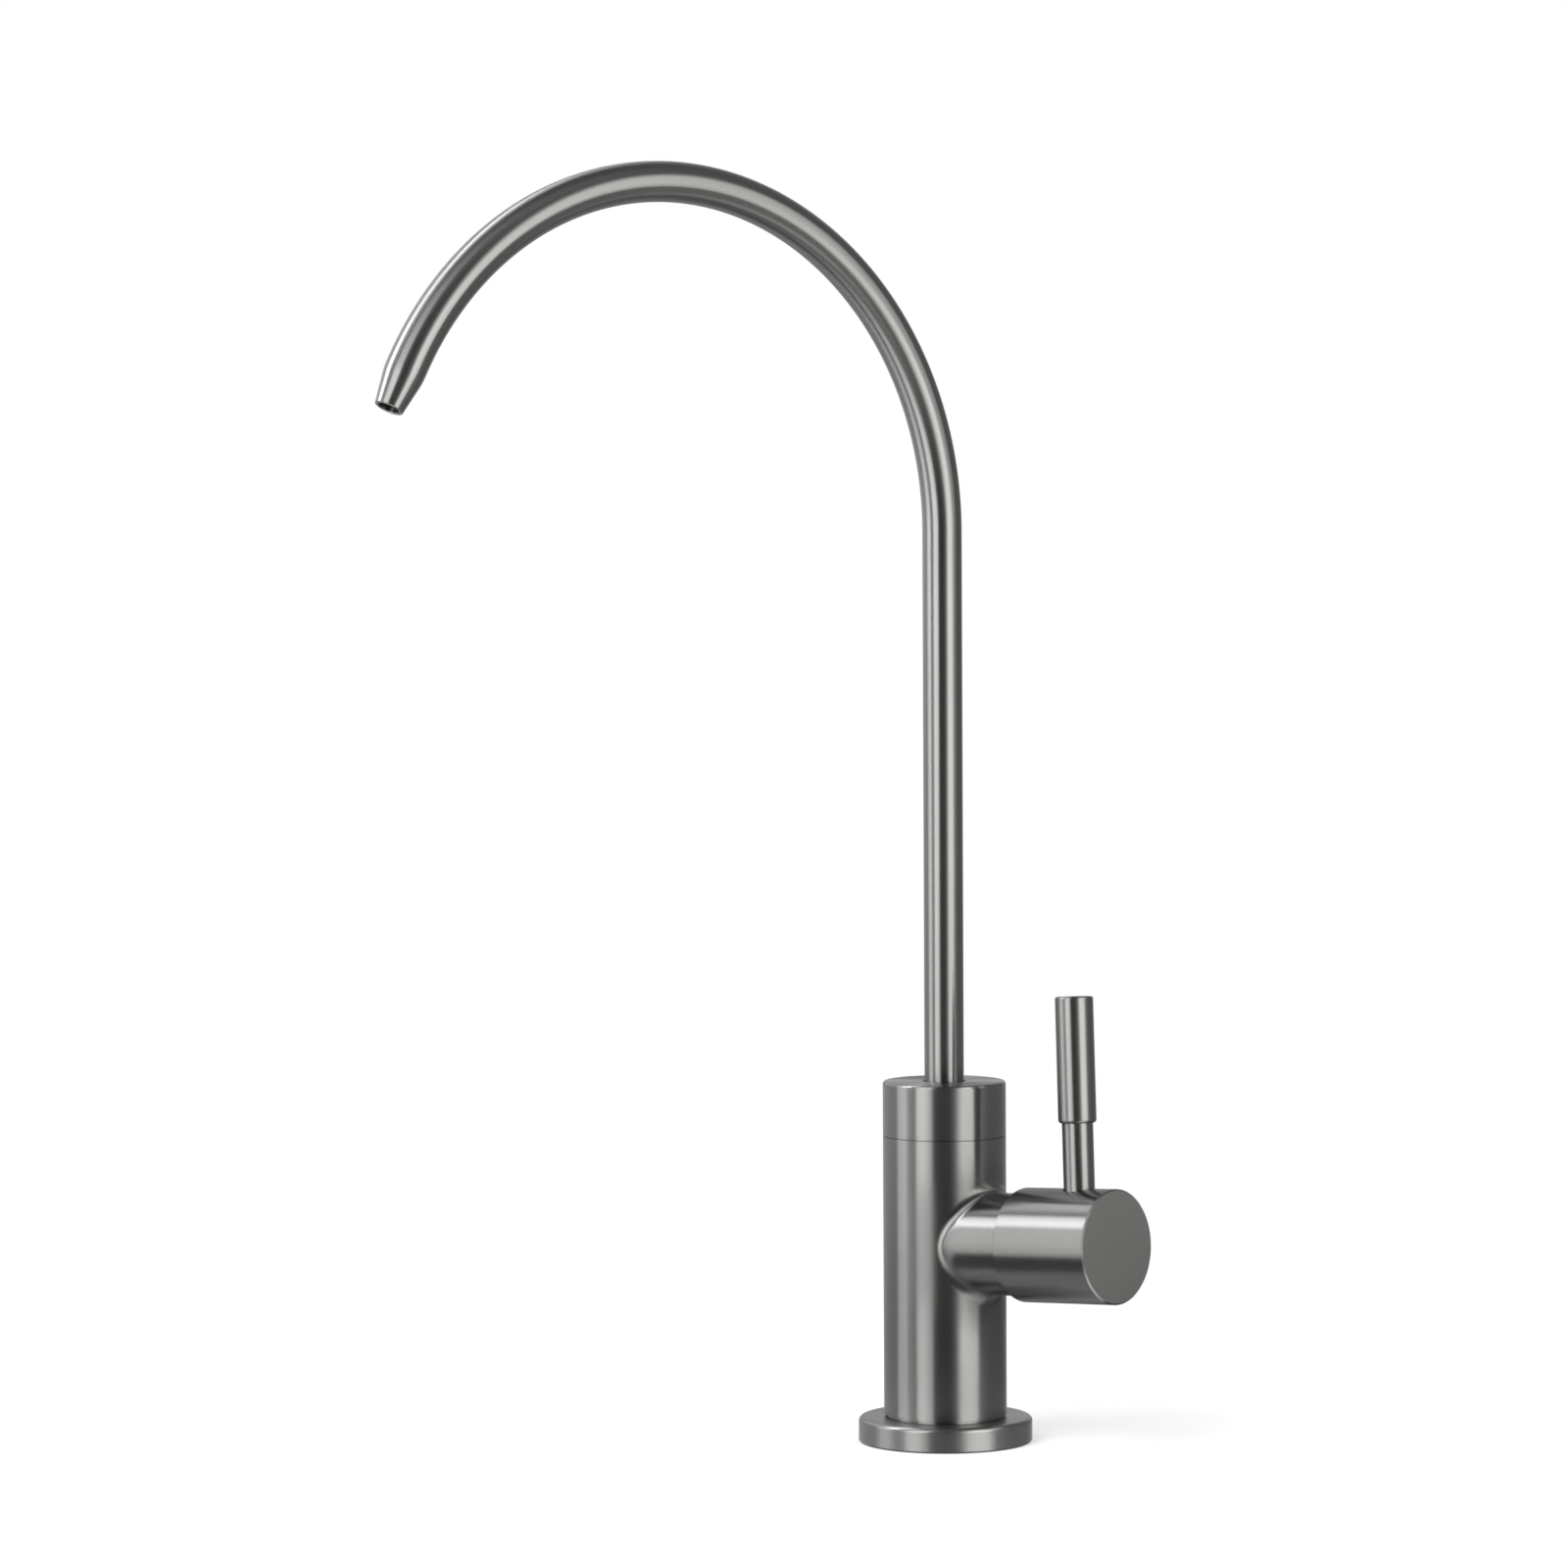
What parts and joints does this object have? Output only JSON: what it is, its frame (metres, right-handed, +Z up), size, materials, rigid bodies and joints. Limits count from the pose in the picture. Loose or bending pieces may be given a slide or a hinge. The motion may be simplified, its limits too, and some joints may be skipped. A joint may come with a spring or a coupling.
{
  "type": "kitchen faucet",
  "caption": "Slim gooseneck drinking water faucet for a counter, with a swivelling swaged spout and a quarter-turn side lever over a ceramic disc valve.",
  "frame": {"origin": "centre of the base plate's underside, on the counter's top face", "axes": "+Z up along the body and the riser, +X out towards the handle, whose axis rises 3.2 degrees above it, -Y towards the user; at rest the spout heads 102.8 degrees clockwise from +X, as in the picture"},
  "size_m": [0.0925, 0.18, 0.3778],
  "materials": {
    "gunmetal_steel": "brushed gunmetal",
    "plain_steel": "plain turned",
    "brass": "turned",
    "rubber": "matt",
    "slip_plastic": "natural",
    "fitting_plastic": "moulded",
    "ceramic": "lapped"
  },
  "bodies": {
    "faucet": {"base_flange": "gunmetal_steel", "base_gasket": "rubber", "body": "gunmetal_steel", "top_cap": "gunmetal_steel", "lower_slip_ring": "slip_plastic", "upper_slip_ring": "slip_plastic", "shank": "plain_steel", "shank_seal": "rubber", "rubber_washer": "rubber", "steel_washer": "plain_steel", "lock_washer": "plain_steel", "mounting_nut": "plain_steel", "tube_fitting": "fitting_plastic", "fitting_seal": "rubber", "fitting_o_ring": "rubber", "seat_seal": "rubber", "fixed_disc": "ceramic", "cartridge_housing": "brass", "cartridge_o_ring": "rubber"},
    "spout": {"spout_tube": "gunmetal_steel", "spout_bush": "brass", "spout_o_rings": "rubber"},
    "handle": {"moving_disc": "ceramic", "spindle": "brass", "spindle_o_rings": "rubber", "thrust_washer": "slip_plastic", "stop_ring": "plain_steel", "spindle_clip": "plain_steel", "handle_cap": "gunmetal_steel", "lever_rod": "gunmetal_steel", "lever_sleeve": "gunmetal_steel"},
    "collet": {"tube_collet": "fitting_plastic"}
  },
  "joints": [
    {"name": "spout_swivel", "type": "hinge", "parent": "faucet", "child": "spout", "pos_m": [0, 0, 0.0882], "axis": [0, 0, 1], "continuous": true},
    {"name": "handle_turn", "type": "hinge", "parent": "faucet", "child": "handle", "pos_m": [0.04168, 0, 0.05083], "axis": [0.9984, 0, 0.0558], "range_deg": [0, 90]},
    {"name": "collet_press", "type": "slide", "parent": "faucet", "child": "collet", "axis": [0, 0, 1], "range_m": [0, 0.0015]}
  ]
}
